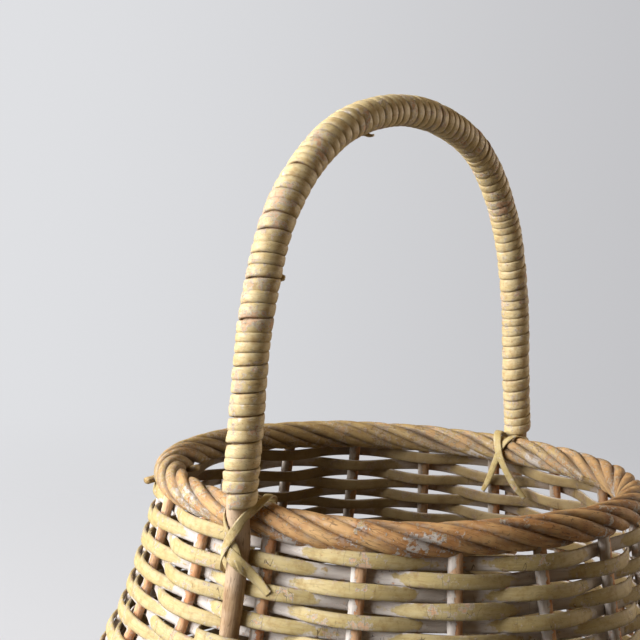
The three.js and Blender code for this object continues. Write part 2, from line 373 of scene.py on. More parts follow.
def weaver(name, distance, phase_of, material, foot_row=None, height=PEEL_H, drift=0.0):
    """One peel round the basket, over and under the stakes at a distance along the profile."""
    theta = ring_angles(STAKES * SECTIONS_PER_STAKE)
    phase = phase_of(theta)
    offset = OFFSET * phase * (1 + ring_wobble(theta, (1, 3, 5, 8), 0.05))
    offset = offset + CROSSING_LIFT * (1 - phase**2)
    if foot_row is not None:
        offset = over_foot(theta, foot_row, offset)
    slide = drift + ring_wobble(theta, (2, 3, 7, 11), PEEL_SLIDE)
    flat, way = (pairs.T for pairs in place_at(distance + slide))
    out = np.stack([way[:, 1], -way[:, 0]], axis=1)
    centre = lift(flat + offset[:, None] * out, theta)
    tilt = ring_wobble(theta, (2, 5, 9, 13), PEEL_TILT)[:, None]
    along = lift(way * np.cos(tilt) + out * np.sin(tilt), theta)
    away = lift(out * np.cos(tilt) - way * np.sin(tilt), theta)
    swell = 1 + PEEL_SWELL * np.maximum(phase, 0)
    half_height = height / 2 * swell * (1 + ring_wobble(theta, (3, 6, 10), 0.05))
    half_depth = PEEL_T / 2 * (1 + ring_wobble(theta, (4, 9), 0.06))
    values = peel_values(phase)
    piece = sweep(name, centre, along, away, half_height, half_depth, PEEL_SECTION, True, values)
    return finish_piece(piece, "painted_peel", material, name)


def peel_values(phase):
    """Most paint where the peel's outer face stands outside a stake, dust and painted shade on its inner
    face.
    """
    across, out = PEEL_SECTION
    facing = np.clip(out / 0.35 + 0.9, -1, 1)
    return {
        "cover": phase[:, None] * facing[None, :],
        "edge": across[None, :],
        "dust_and_shade": np.clip(-1.6 * out[None, :], 0, 1),
    }


def all_weavers(material):
    """The two ties round the hub, the rows of the base, the foot row, and the rows of the wall."""
    for i, radius in enumerate(TIE_RADII):
        sign = 1 if i % 2 == 0 else -1
        weaver(f"base_tie_{i + 1}", radius - HUB_R, partial(tie_phase, sign=sign), material)
    for row in range(1, BASE_ROWS + 1):
        distance = BASE_LENGTH - row * BASE_PITCH
        weaver(f"base_weaver_{row}", distance, partial(stake_phase, row=row), material)
    weaver("foot_weaver", wall_distance(0), partial(stake_phase, row=0), material, height=FOOT_PEEL_H)
    for row in range(1, WALL_ROWS + 1):
        from_top = WALL_ROWS - row
        foot_row = row if FIRST_ROW_OVER_FOOT <= from_top < FOOT_ROW else None
        phase_of = partial(stake_phase, row=row)
        drift = TOP_ROW_RISE if from_top == 0 else 0.0
        weaver(f"wall_weaver_{row}", wall_distance(row), phase_of, material, foot_row, drift=drift)


# ---------------------------------------------------------------- stakes

STAKE_SECTION = outline(14, 0.85)
STAKE_TOP = (NECK_R - 1.2 * MM, RIM_Z - 4 * MM)
STAKE_STATIONS = 260

# The rods are slim inside the first radius and have their full section from the second on.
STAKE_SPREAD = (40 * MM, 110 * MM)


def stake_half(start, angle):
    """Knots out from the bundle at the hub, along the base and up the wall: x, y, z and the side way."""
    flat = np.vstack([dome_curve(9), corner_curve(9)[1:], wall_curve(12)[1:], [STAKE_TOP]])
    knots = [[*start, 0, 1]]
    for radius, z in flat:
        along, across = math.cos(angle), math.sin(angle)
        knots.append([radius * along, radius * across, z, -across, along])
    return np.array(knots)


def stake(name, start, angle, heading, material):
    """One rod from wall to wall through the hub; angle is its fan from the bundle's heading."""
    near = stake_half(start, angle)
    far = near[::-1] * np.array([-1, 1, 1, -1, 1])
    run = spline(np.vstack([far, near]), STAKE_STATIONS)
    turn = np.array(Matrix.Rotation(heading, 3, "Z"))
    centre = run[:, :3] @ turn.T
    side = unit(np.column_stack([run[:, 3:], np.zeros(len(run))])) @ turn.T
    along = run_lengths(centre)
    centre = centre + side * run_wobble(along, 45 * MM, 0.5 * MM)[:, None]
    inward = unit(np.cross(tangents_of(centre), side))
    radius = np.hypot(centre[:, 0], centre[:, 1])
    spread = smoothstep(*STAKE_SPREAD, radius)
    width = HUB_ROD + (STAKE_WIDTH - HUB_ROD) * spread
    depth = HUB_ROD + (STAKE_DEPTH - HUB_ROD) * spread
    width = width * (1 + run_wobble(along, 30 * MM, 0.05))
    across, inner = STAKE_SECTION
    # The inner face, towards the basket's inside, is darkened with dust and painted shade.
    values = {"edge": across[None, :], "dust_and_shade": np.clip(inner[None, :], 0, 1)}
    piece = sweep(name, centre, side, inward, width, depth, STAKE_SECTION, False, values)
    return finish_piece(piece, "stake_rod", material, name)


def all_stakes(material):
    """Two crossed bundles, one over the other at the hub, that fan out to even steps round the wall."""
    for name, count, reach, heading, layer in (LONG_BUNDLE, CROSS_BUNDLE):
        level = SPOKE_Z + DOME + layer * LAYER_Z
        for i in range(count):
            place = i - (count - 1) / 2
            start = (reach, place * BUNDLE_PITCH, level)
            stake(f"{name}_{i + 1}", start, place * STEP, heading, material)


# ---------------------------------------------------------------- border

STRAND_SECTION = outline(16, 0.88)
RIM_STATIONS = RIM_TURNS * 72
STRAND_WIDTH_SHARE = 1.08
STRAND_DEPTH_SHARE = 0.95

# Hands have worn the border down to the wood round this direction.
RIM_WORN_MIDDLE = math.radians(245)

# How the border sags and rises round the mouth: angle in degrees, rise in millimetres.
RIM_SAG = (
    (0, 0),
    (60, 0.5),
    (120, -0.5),
    (178, -0.8),
    (196, -2.0),
    (213, -2.2),
    (229, 0),
    (246, 2.0),
    (290, 1.0),
)
SAG_WINDOW = 61

# Cut rod ends that show at the border: name, direction in degrees, then radius and height from and to.
ROD_TIPS = (
    ("rod_tip_outside", 126, (122, 134), (131.5, 132.5)),
    ("rod_tip_inside", 122, (118, 134), (106, 139)),
    ("rod_tip_back", 318, (118, 134), (105.5, 138)),
)
TIP_SLANT = 4
TIP_WIDTH = 2.4 * MM
TIP_DEPTH = 1.7 * MM


def rim_strand(number, sway, material):
    """One of the rods twisted into the border; sway moves them all together, out and up."""
    theta = ring_angles(RIM_STATIONS)
    lay = math.tau * number / RIM_STRANDS - RIM_TURNS * theta + ring_wobble(theta, (2, 3, 5), 0.10)
    reach = LAY_R * (1 + ring_wobble(theta, (3, 5, 9, 14), 0.03))
    flat_centre = np.stack([RIM_R + sway[0], RIM_Z + sway[1]], axis=1)
    outward = np.stack([np.cos(lay), np.sin(lay)], axis=1)
    centre = lift(flat_centre + reach[:, None] * outward, theta)
    out = lift(outward, theta)
    side = unit(np.cross(tangents_of(centre, True), out))
    out = np.cross(side, tangents_of(centre, True))
    size = 1 + ring_wobble(theta, (2, 5, 9), 0.05)
    kept = 0.5 - 0.5 * np.cos(theta - RIM_WORN_MIDDLE)
    values = {
        "cover": outward[:, 1:2] + 2 * kept[:, None] - 1,
        "edge": STRAND_SECTION[0][None, :],
        # The strands' inward faces are darkened with dust and painted shade.
        "dust_and_shade": 0.6 * np.clip(-outward[:, 0:1], 0, 1),
        "kept": kept[:, None],
    }
    name = f"rim_strand_{number + 1}"
    width = STRAND_WIDTH_SHARE * STRAND_R * size
    depth = STRAND_DEPTH_SHARE * STRAND_R * size
    piece = sweep(name, centre, side, out, width, depth, STRAND_SECTION, True, values)
    return finish_piece(piece, "rim_rod", material, name)


def rim_sag(theta):
    """RIM_SAG as a smooth closed rise at each angle."""
    angles, rises = np.array(RIM_SAG).T
    sag = np.interp(np.degrees(theta), angles, rises * MM, period=360)
    window = np.hanning(SAG_WINDOW)
    half = SAG_WINDOW // 2
    return np.convolve(np.concatenate([sag[-half:], sag, sag[:half]]), window / window.sum(), "valid")


def all_strands(material):
    theta = ring_angles(RIM_STATIONS)
    sway = (ring_wobble(theta, (2, 3, 4), 0.5 * MM), rim_sag(theta))
    for number in range(RIM_STRANDS):
        rim_strand(number, sway, material)


def rod_tip(name, direction, start, end, material):
    """A short end of rod, cut off square, that slants out of the border and ends just clear of it."""
    ways = np.radians(direction + np.linspace(0, TIP_SLANT, 12))
    flat = np.linspace(start, end, 12) * MM
    centre = lift(flat, ways)
    side = unit(np.cross(tangents_of(centre), [0, 0, 1.0]))
    out = np.cross(side, tangents_of(centre))
    values = {"edge": STAKE_SECTION[0][None, :], "kept": np.ones((1, 1))}
    piece = sweep(name, centre, side, out, TIP_WIDTH, TIP_DEPTH, STAKE_SECTION, False, values)
    return finish_piece(piece, "rim_rod", material)


# ---------------------------------------------------------------- handle

# The share of the rod's full radius at heights from the foot's tip up to the wrap.
FOOT_TAPER = (
    (RIM_Z - 75 * MM, RIM_Z - 14 * MM, RIM_Z + 8 * MM),
    (FOOT_TIP_SHARE, FOOT_SHARE, 1.0),
)
CORE_STATIONS = 420
CORE_WOBBLE = 0.35 * MM
CORE_END = 14 * MM

# The wrap: how its turns differ in pitch, step out and lean, and half its width as a share of the pitch.
STATIONS_PER_TURN = 40
PITCH_SPREAD = 0.15
PITCH_SHARES = (0.72, 1.4)
CANE_STEP = 0.35 * MM
CANE_LEAN = math.radians(4)
CANE_SHARE = 0.51

# Cut ends of cane that lift off the wrap: name, share of the handle's length from the left foot, angle
# round the handle from its outer side in degrees, and how far the end stands off.
CANE_ENDS = (
    ("cane_end_low", 0.27, 200, 3 * MM),
    ("cane_end_high", 0.43, 185, 4 * MM),
)
CANE_END_SWEEP = 70
CANE_END_GAP = 0.5 * MM
CANE_END_WIDTH = 2.6 * MM
CANE_END_DEPTH = 0.6 * MM


def foot_run(side):
    """The foot's axis outside the wall, from the border's height down to its end."""
    points = [[side * FOOT_X, 0, RIM_Z]]
    for from_top in (0, 2, 4, 6, 8, FOOT_ROW):
        (radius, z), (way_r, way_z) = place_at(wall_distance(WALL_ROWS - from_top))
        lean = side * FOOT_LEAN * from_top / FOOT_ROW
        points.append([side * (radius + FOOT_OFFSET * way_z), lean, z - FOOT_OFFSET * way_r])
    return points


def handle_axis(count):
    """The rod's axis from the left foot over the arch to the right foot."""
    arch = [[x * MM, 0, z * MM] for x, z in ARCH_KNOTS]
    return spline([*foot_run(-1)[::-1], *arch, *foot_run(1)], count)


def handle_frames(centre):
    """Across is the way square to the arch's plane, out points away from the arch's inside."""
    tangent = tangents_of(centre)
    across = np.tile([0.0, 1.0, 0.0], (len(centre), 1))
    return across, unit(np.cross(across, tangent)) * -1


def handle_core(material):
    """The handle's one rod, thinner at its feet and rounded off at both ends."""
    centre = handle_axis(CORE_STATIONS)
    along = run_lengths(centre)
    across, out = handle_frames(centre)
    wobble = run_wobble(along, 60 * MM, CORE_WOBBLE)
    centre = centre + across * wobble[:, None]
    end = np.minimum(along, along[-1] - along)
    taper = 0.8 + 0.2 * smoothstep(0, CORE_END, end)
    slim = np.interp(centre[:, 2], *FOOT_TAPER)
    size = CORE_R * taper * slim * (1 + run_wobble(along, 25 * MM, 0.02))
    piece = sweep("handle_core", centre, across, out, size, size, outline(28, 1.0), False, {})
    return finish_piece(piece, "handle_rod", material, "handle_core")


def cane_values(section):
    """Cane has the same paint all round, less towards its edges."""
    return {"cover": np.ones((1, 1)), "edge": section[0][None, :]}


def wrap_turns(length):
    """Where each turn of the wrap starts along the handle; the pitch is uneven, as hand winding is."""
    starts = [0.0]
    while starts[-1] < length:
        share = np.clip(1 + PITCH_SPREAD * rng.normal(), *PITCH_SHARES)
        starts.append(starts[-1] + CANE_PITCH * share)
    return np.array(starts)


def resampled(at, known_at, values):
    """Each column of the values, read at other places along the run."""
    return np.stack([np.interp(at, known_at, column) for column in values.T], axis=1)


def handle_wrap(material):
    """One flat cane wound round the arch, each turn with a pitch, a step out and a lean of its own."""
    axis = handle_axis(1600)
    along_axis = run_lengths(axis)
    first, last = along_axis[axis[:, 2] > WRAP_START_Z][[0, -1]]
    turns = wrap_turns(last - first)
    count = len(turns) - 1
    turn = np.arange(count * STATIONS_PER_TURN + 1) / STATIONS_PER_TURN
    along = first + np.interp(turn, np.arange(count + 1), turns)
    pitch = np.interp(turn, np.arange(count) + 0.5, np.diff(turns))
    tangent = resampled(along, along_axis, tangents_of(axis))
    normal = resampled(along, along_axis, handle_frames(axis)[1])
    side = np.cross(tangent, normal)
    angle = math.tau * turn
    away = normal * np.cos(angle)[:, None] + side * np.sin(angle)[:, None]
    step_out = np.interp(turn, np.arange(count + 1), rng.uniform(0, CANE_STEP, count + 1))
    reach = CORE_R + CANE_T / 2 + step_out
    centre = resampled(along, along_axis, axis) + away * reach[:, None]
    lean = np.interp(turn, np.arange(count + 1), rng.normal(0, CANE_LEAN, count + 1))[:, None]
    wide = tangent * np.cos(lean) + away * np.sin(lean)
    deep = away * np.cos(lean) - tangent * np.sin(lean)
    section = outline(14, 0.66, flat_back=0.8)
    width = pitch * CANE_SHARE
    values = cane_values(section)
    piece = sweep("handle_wrap", centre, wide, deep, width, CANE_T / 2, section, False, values)
    return finish_piece(piece, "handle_cane", material, "handle_wrap")


def cane_end(name, share, turn, stand, material):
    """A cane's cut end that follows the wrap round to the turn given, then lifts off it."""
    axis = handle_axis(400)
    across, out = handle_frames(axis)
    at = int(share * len(axis))
    turns = np.radians(turn + np.linspace(-CANE_END_SWEEP, 0, 8))
    reach = CORE_R + CANE_T + CANE_END_GAP
    ways = np.cos(turns)[:, None] * out[at] + np.sin(turns)[:, None] * across[at]
    onward = -np.sin(turns[-1]) * out[at] + np.cos(turns[-1]) * across[at]
    lifts = np.array([0.5, 1.0])[:, None] * stand * onward + ways[-1] * (reach + 0.2 * stand)
    knots = np.hstack([np.vstack([ways * reach, lifts]), np.vstack([ways, ways[-1], ways[-1]])])
    run = spline(knots, 40)
    centre, away = axis[at] + run[:, :3], unit(run[:, 3:])
    side = unit(np.cross(tangents_of(centre), away))
    section = outline(12, 0.6)
    width = CANE_END_WIDTH * (1 - 0.55 * np.linspace(0, 1, len(centre)) ** 3)
    piece = sweep(name, centre, side, away, width, CANE_END_DEPTH, section, False, cane_values(section))
    return finish_piece(piece, "handle_cane", material)


# ---------------------------------------------------------------- lashings

STRIP_T = 1.2 * MM
UNDER_WIDTH = 3.8 * MM
OVER_WIDTH = 4.8 * MM
TAIL_WIDTH = 6.2 * MM
UNDER_GAP = 0.6 * MM
OVER_GAP = 1.9 * MM


def on_rod(side, turn, gap, z):
    """A knot on the foot's rod: turn is the angle round the rod from its outward side, in degrees."""
    axis = np.array([*foot_run(side)[::-1], [side * FOOT_X, 0, WRAP_START_Z]])
    x, y = (np.interp(z, axis[:, 2], axis[:, column]) for column in (0, 1))
    away = np.array([side * math.cos(math.radians(turn)), math.sin(math.radians(turn)), 0])
    return np.concatenate([np.array([x, y, z]) + away * (CORE_R + gap), away])


def on_rim(side, aside, turn, gap):
    """A knot on the border: turn is the angle round its section from the outward side, in degrees."""
    radius = LAY_R + STRAND_R + gap
    x = math.sqrt(RIM_R**2 - aside**2) + radius * math.cos(math.radians(turn))
    z = RIM_Z + radius * math.sin(math.radians(turn))
    away = [side * math.cos(math.radians(turn)), 0, math.sin(math.radians(turn))]
    return np.array([side * x, aside, z, *away])


def on_wall(side, aside, offset, from_top):
    """A knot on the weave, out of the wall by an offset (inwards when negative)."""
    (radius, z), _ = place_at(wall_distance(WALL_ROWS - from_top))
    sign = 1 if offset > 0 else -1
    x = math.sqrt((radius + offset) ** 2 - aside**2)
    return np.array([side * x, aside, z, side * sign, 0, 0])


def strip_knots(side, hand, gap):
    """A lashing strip's way: out of the weave, across the rod, over the border, down and across inside."""
    return [
        on_wall(side, -8 * MM * hand, 5.0 * MM, 2.2),
        on_rod(side, -58 * hand, gap, RIM_Z - 20 * MM),
        on_rod(side, -18 * hand, gap, RIM_Z - 11 * MM),
        on_rod(side, 20 * hand, gap, RIM_Z - 4 * MM),
        on_rod(side, 58 * hand, gap, RIM_Z + 3 * MM),
        on_rim(side, 6.5 * MM * hand, 62, gap),
        on_rim(side, 5.5 * MM * hand, 92, gap),
        on_rim(side, 3.5 * MM * hand, 125, gap),
        on_rim(side, 1 * MM * hand, 160, gap),
        on_rim(side, -1 * MM * hand, 195, gap),
        on_wall(side, -9 * MM * hand, -7.0 * MM - gap, 1.2),
        on_wall(side, -14 * MM * hand, -5.2 * MM, 2.4),
    ]


def tail_knots(gap):
    """The loose tail of a strip, from the front of the left foot down to the weave beside it."""
    return [
        on_rod(-1, 70, gap, RIM_Z - 10 * MM),
        on_rod(-1, 25, gap, RIM_Z - 13 * MM),
        on_rod(-1, -30, gap, RIM_Z - 17 * MM),
        on_wall(-1, -10 * MM, 8.0 * MM, 1.9),
        on_wall(-1, -17 * MM, 5.6 * MM, 2.9),
    ]


def lashing(name, knots, width, material, *nodes):
    """A flat strip through knots that each give a place and the way its outer face looks."""
    run = spline(knots, 150)
    centre, away = run[:, :3], unit(run[:, 3:])
    tangent = tangents_of(centre)
    across = unit(np.cross(tangent, away))
    away = np.cross(across, tangent)
    along = run_lengths(centre)
    end = np.minimum(along, along[-1] - along)
    taper = 0.75 + 0.25 * smoothstep(0, 10 * MM, end)
    half = width / 2 * taper * (1 + run_wobble(along, 20 * MM, 0.05))
    section = outline(12, 0.6, flat_back=0.7)
    piece = sweep(name, centre, across, away, half, STRIP_T / 2, section, False, cane_values(section))
    return finish_piece(piece, "lashing_cane", material, *nodes)


def all_lashings(material):
    """Two crossed strips at each foot, and one loose tail on the left."""
    for label, side in (("left", -1), ("right", 1)):
        under = f"{label}_lashing_under"
        over = f"{label}_lashing_over"
        lashing(under, strip_knots(side, -side, UNDER_GAP), UNDER_WIDTH, material, under)
        lashing(over, strip_knots(side, side, OVER_GAP), OVER_WIDTH, material, over)
    lashing("lashing_tail", tail_knots(UNDER_GAP), TAIL_WIDTH, material)


# ---------------------------------------------------------------- materials

class Graph:
    """The node tree of a material or a world, built from short calls."""

    def __init__(self, owner):
        owner.use_nodes = True
        self.tree = owner.node_tree
        self.tree.nodes.clear()

    def plug(self, node, key, value):
        if isinstance(value, bpy.types.NodeSocket):
            self.tree.links.new(value, node.inputs[key])
        else:
            node.inputs[key].default_value = value

    def node(self, kind, inputs, **settings):
        made = self.tree.nodes.new(kind)
        for key, value in settings.items():
            setattr(made, key, value)
        for key, value in inputs.items():
            self.plug(made, key, value)
        return made

    def attribute(self, name, output):
        return self.node("ShaderNodeAttribute", {}, attribute_name=name).outputs[output]

    def noise(self, vector, scale, detail=3.0, roughness=0.55):
        inputs = {"Vector": vector, "Scale": scale, "Detail": detail, "Roughness": roughness}
        return self.node("ShaderNodeTexNoise", inputs).outputs["Fac"]

    def math(self, operation, a, b=0.0, c=0.0):
        return self.node("ShaderNodeMath", {0: a, 1: b, 2: c}, operation=operation).outputs[0]

    def band(self, value, low, high, to_low=0.0, to_high=1.0):
        inputs = {"Value": value, "From Min": low, "From Max": high, "To Min": to_low, "To Max": to_high}
        return self.node("ShaderNodeMapRange", inputs, interpolation_type="SMOOTHSTEP").outputs["Result"]

    def mix(self, share, a, b):
        """The colour between a and b; sockets 0, 6 and 7 are the factor and the two colours."""
        return self.node("ShaderNodeMix", {0: share, 6: a, 7: b}, data_type="RGBA").outputs[2]


class MaterialGraph(Graph):
    """A new material with a principled shader on its output."""

    def __init__(self, name):
        self.material = bpy.data.materials.new(name)
        super().__init__(self.material)
        self.shader = self.node("ShaderNodeBsdfPrincipled", {})
        self.node("ShaderNodeOutputMaterial", {"Surface": self.shader.outputs[0]})


# How much harder the coats hold where they are kept.
KEPT_SHARE = 0.16
# The colour of dark lines and of the painted shade at the edges, and of the dust and painted shade inside.
SHADE = (0.07, 0.04, 0.02, 1)
DUST_AND_SHADE = (0.14, 0.082, 0.03, 1)
BUMP_DEPTH = 0.3 * MM


class WoodPattern:
    """The noises and per-point values that every layer of a wood material is built from."""

    def __init__(self, g):
        grain = g.attribute("grain", "Vector")
        place = g.node("ShaderNodeTexCoord", {}).outputs["Object"]
        self.cover = g.attribute("cover", "Fac")
        self.edge = g.attribute("edge", "Fac")
        self.kept = g.attribute("kept", "Fac")
        self.dust_and_shade = g.attribute("dust_and_shade", "Fac")
        self.rim = g.math("POWER", g.math("ABSOLUTE", self.edge), 2.5)
        self.fibre = g.noise(grain, 110.0, 5.0, 0.7)
        self.streak = g.noise(grain, 36.0, 3.0)
        self.groove = g.noise(grain, 70.0, 1.0)
        self.split = g.noise(g.attribute("spine", "Vector"), 190.0, 1.0)
        self.patch = g.noise(place, 230.0, 4.0, 0.62)
        self.blotch = g.noise(place, 62.0, 3.0)
        self.flake = g.noise(place, 340.0, 5.0, 0.7)
        self.fleck = g.noise(place, 900.0, 2.0)


def bare_layer(g, at, bare):
    """Two tones along the fibres, a third in blotches and a fourth in streaks."""
    wood = g.mix(g.band(at.fibre, 0.3, 0.7), bare[0], bare[1])
    wood = g.mix(g.band(at.blotch, 0.38, 0.62), wood, bare[2])
    return g.mix(g.band(at.streak, 0.52, 0.75, 0.0, 0.5), wood, bare[3])


def primer_layer(g, at, primer, bare):
    """Two tones in streaks, with flecks of the wood."""
    undercoat = g.mix(g.band(at.streak, 0.35, 0.7), primer[0], primer[1])
    return g.mix(g.band(at.fleck, 0.6, 0.8, 0.0, 0.4), undercoat, bare[0])


def paint_layer(g, at, paint, bare):
    """Two tones in streaks, a third in patches and along the fibres, and flecks of dark wood."""
    top = g.mix(g.band(at.streak, 0.3, 0.7), paint[0], paint[1])
    top = g.mix(g.band(at.patch, 0.46, 0.72, 0.0, 0.8), top, paint[2])
    top = g.mix(g.band(at.fibre, 0.5, 0.72, 0.0, 0.65), top, paint[2])
    return g.mix(g.band(at.fleck, 0.66, 0.74, 0.0, 0.5), top, bare[3])


def painted_share(g, at, amounts):
    """Where the top coat lies over the primer, with a ragged edge."""
    ragged = g.math("ADD", g.math("MULTIPLY", at.patch, 0.6), g.math("MULTIPLY", at.streak, 0.4))
    reach = g.math("MULTIPLY_ADD", at.cover, amounts["reach"], amounts["paint"])
    reach = g.math("MULTIPLY_ADD", at.rim, -amounts["edge"], reach)
    reach = g.math("MULTIPLY_ADD", ragged, 1.4, reach)
    reach = g.math("MULTIPLY_ADD", at.blotch, 1.1, reach)
    return g.band(reach, 1.25, 1.41)


def bared_shares(g, at, amounts):
    """Where both coats have flaked off, and the lip of primer round each such place."""
    chip = g.math("ADD", g.math("MULTIPLY", at.flake, 0.5), g.math("MULTIPLY", at.blotch, 0.5))
    chip = g.math("MULTIPLY_ADD", at.edge, amounts["tilt"], chip)
    chip = g.math("MULTIPLY_ADD", at.kept, -KEPT_SHARE, chip)
    bared = g.band(chip, amounts["bare"], amounts["bare"] + 0.03)
    scuff = g.band(g.math("MULTIPLY_ADD", at.rim, 0.14, at.flake), 0.66, 0.7)
    bared = g.math("MAXIMUM", bared, g.math("MULTIPLY", scuff, g.band(at.patch, 0.48, 0.55)))
    lip = g.band(chip, amounts["bare"] - 0.022, amounts["bare"], 0.0, 1.0)
    return bared, g.math("MULTIPLY", lip, g.math("SUBTRACT", 1.0, bared))


def crack_share(g, at, amounts):
    """Thin cracks across the grain, on part of the surface."""
    line = g.band(g.math("ABSOLUTE", g.math("SUBTRACT", at.split, 0.5)), 0.002, 0.006, 1.0, 0.0)
    return g.math("MULTIPLY", line, g.band(at.blotch, 1 - amounts["cracks"], 1.03 - amounts["cracks"]))


def groove_share(g, at, amounts):
    """Thin dark lines along the grain."""
    line = g.math("ABSOLUTE", g.math("SUBTRACT", at.groove, 0.5))
    return g.band(line, 0.004, 0.02, amounts["grooves"], 0.0)


def soiled_and_shaded(g, at, amounts, colour, crack, groove):
    """The colour with its cracks and grooves darkened, painted shade at the edges where strips meet, and
    dust and painted shade on the inner faces.
    """
    # Painted shade: the edges of each strip and rod, where it meets its neighbours, are darkened, in
    # streaks.
    crevice_shading = g.band(at.streak, 0.35, 0.65, 0.3 * amounts["crevice_shade"], amounts["crevice_shade"])
    crevice_shading = g.math("MULTIPLY", at.rim, crevice_shading)
    dark = g.math("MAXIMUM", g.math("MULTIPLY", crack, 0.7), crevice_shading)
    colour = g.mix(g.math("MAXIMUM", dark, groove), colour, SHADE)
    # Dust and painted shade darken the inner faces.
    dust_and_shade = g.math("MULTIPLY", at.dust_and_shade, g.band(at.blotch, 0.3, 0.7, 0.65, 0.85))
    return g.mix(dust_and_shade, colour, DUST_AND_SHADE)


def relief(g, layers):
    """A bump from (value, share) pairs, added up."""
    height = 0.0
    for value, share in layers:
        height = g.math("MULTIPLY_ADD", value, share, height)
    bump = g.node("ShaderNodeBump", {"Height": height, "Strength": 0.7, "Distance": BUMP_DEPTH})
    return bump.outputs["Normal"]


def painted_wood(name, paint, primer, bare, amounts, roughness=(0.75, 0.55)):
    """Old painted wood: grain, then a chipped primer, then a top coat where the spray could reach.

    amounts: reach and paint give how much top coat lies where cover is high and everywhere, edge takes it
    off towards the edges, tilt and bare say where and how readily both coats have flaked to the wood,
    the next amount darkens the edges with painted shade where strips meet, cracks is the share of the
    surface that has them, grooves darkens thin lines along the fibres. roughness is the bare wood's and the
    paint's.
    """
    g = MaterialGraph(name)
    at = WoodPattern(g)
    painted = painted_share(g, at, amounts)
    bared, lip = bared_shares(g, at, amounts)
    crack = crack_share(g, at, amounts)
    groove = groove_share(g, at, amounts)

    coat = g.mix(painted, primer_layer(g, at, primer, bare), paint_layer(g, at, paint, bare))
    colour = g.mix(bared, coat, bare_layer(g, at, bare))
    colour = g.mix(g.math("MULTIPLY", lip, 0.7), colour, primer[0])
    rubbed = g.math("MULTIPLY", at.rim, g.band(at.flake, 0.48, 0.62, 0.0, 0.55))
    colour = g.mix(rubbed, colour, primer[1])
    layers = (
        (at.fibre, 0.4),
        (painted, 0.35),
        (bared, -0.9),
        (lip, 0.5),
        (crack, -0.8),
        (at.patch, 0.8),
        (groove, -1.0),
    )
    rough = g.band(bared, 0.0, 1.0, roughness[1], roughness[0])
    g.plug(g.shader, "Base Color", soiled_and_shaded(g, at, amounts, colour, crack, groove))
    g.plug(g.shader, "Roughness", g.math("MULTIPLY_ADD", at.fibre, 0.15, rough))
    g.plug(g.shader, "Normal", relief(g, layers))
    return g.material


def wear(bare, paint, reach=0.0, edge=0.0, tilt=0.0, crevice_shade=0.0, cracks=0.3, grooves=0.0):
    """How a painted_wood material has worn; its docstring says what each amount does."""
    return {
        "reach": reach,
        "paint": paint,
        "edge": edge,
        "tilt": tilt,
        "bare": bare,
        "crevice_shade": crevice_shade,
        "cracks": cracks,
        "grooves": grooves,
    }


def tone(red, green, blue):
    """An sRGB colour from 0 to 255 as the linear colour that a shader socket takes."""
    linear = [((c / 255 + 0.055) / 1.055) ** 2.4 if c > 10 else c / 255 / 12.92 for c in (red, green, blue)]
    return (*linear, 1.0)


# Paints have three tones, the primer two and bare woods four, in the order that the layers take them.
KHAKI = (tone(193, 172, 114), tone(204, 186, 136), tone(174, 145, 88))
HONEY = (tone(188, 158, 102), tone(202, 176, 122), tone(162, 126, 76))
CANE = (tone(211, 188, 134), tone(225, 206, 159), tone(190, 156, 104))
WHITE = (tone(218, 210, 200), tone(200, 190, 181))
PEACH = (tone(208, 156, 108), tone(186, 130, 82), tone(222, 182, 142), tone(172, 114, 70))
ORANGE = (tone(196, 144, 88), tone(170, 115, 62), tone(212, 170, 114), tone(144, 92, 48))
SPLIT = (tone(218, 160, 112), tone(196, 128, 78), tone(226, 184, 142), tone(174, 104, 58))
BARK = (tone(188, 158, 120), tone(148, 114, 80), tone(200, 174, 144), tone(122, 88, 58))

materials = {
    "peel": painted_wood(
        "painted_peel", KHAKI, WHITE, PEACH,
        wear(reach=0.75, paint=0.5, edge=0.5, bare=0.585, crevice_shade=0.5, cracks=0.5, grooves=0.2),
    ),
    "stake": painted_wood(
        "worn_stake", KHAKI, WHITE, SPLIT,
        wear(paint=-0.3, tilt=-0.22, bare=0.475, crevice_shade=0.1, grooves=0.3),
    ),
    "rim": painted_wood(
        "worn_border", HONEY, WHITE, ORANGE,
        wear(reach=0.12, paint=0.3, edge=0.1, bare=0.4, crevice_shade=0.85, grooves=0.6),
        (0.62, 0.5),
    ),
    "core": painted_wood(
        "bare_rod", KHAKI, WHITE, BARK,
        wear(paint=-0.5, bare=0.3, grooves=0.4),
    ),
    "cane": painted_wood(
        "wound_cane", CANE, WHITE, PEACH,
        wear(paint=0.46, edge=0.14, bare=0.56, crevice_shade=0.32, grooves=0.32),
        (0.62, 0.46),
    ),
    "strip": painted_wood(
        "lashing_cane", KHAKI, WHITE, PEACH,
        wear(reach=0.5, paint=0.2, edge=0.3, bare=0.6, crevice_shade=0.25, grooves=0.25),
        (0.65, 0.5),
    ),
}


# ---------------------------------------------------------------- stage, light and camera

CAMERA_AZIMUTH = math.radians(58.4)
CAMERA_ELEVATION = math.radians(12.0)
CAMERA_DISTANCE = 0.728
CAMERA_PITCH = math.radians(-5.65)
CAMERA_YAW = math.radians(3.70)
CAMERA_ROLL = math.radians(3.15)
CAMERA_LENS = 77.25

# The window stands on the camera's left; the rear light is low and weak, and keeps the back from going
# dark. Name, azimuth, elevation, distance, size, power, colour.
LIGHTS = (
    ("window", -71, 25, 1.6, (1.4, 1.2), 65, (0.98, 0.98, 1.0)),
    ("rear", 124, 9, 1.6, (1.2, 0.6), 10, (1.0, 0.86, 0.7)),
)
LIGHT_AIM = Vector((0, 0, 0.16))
FILL_COLOUR = (1.0, 0.66, 0.33, 1)
FILL_STRENGTH = 0.085

# The backdrop's tones to the camera's right and left, with painted light from the window's side making the
# left brighter, and between which shares of left they blend.
BACKDROP_SHADED_RIGHT = tone(192, 192, 195)
BACKDROP_LIT_LEFT = tone(224, 225, 228)
BACKDROP_BLEND = (-0.3, 0.35)

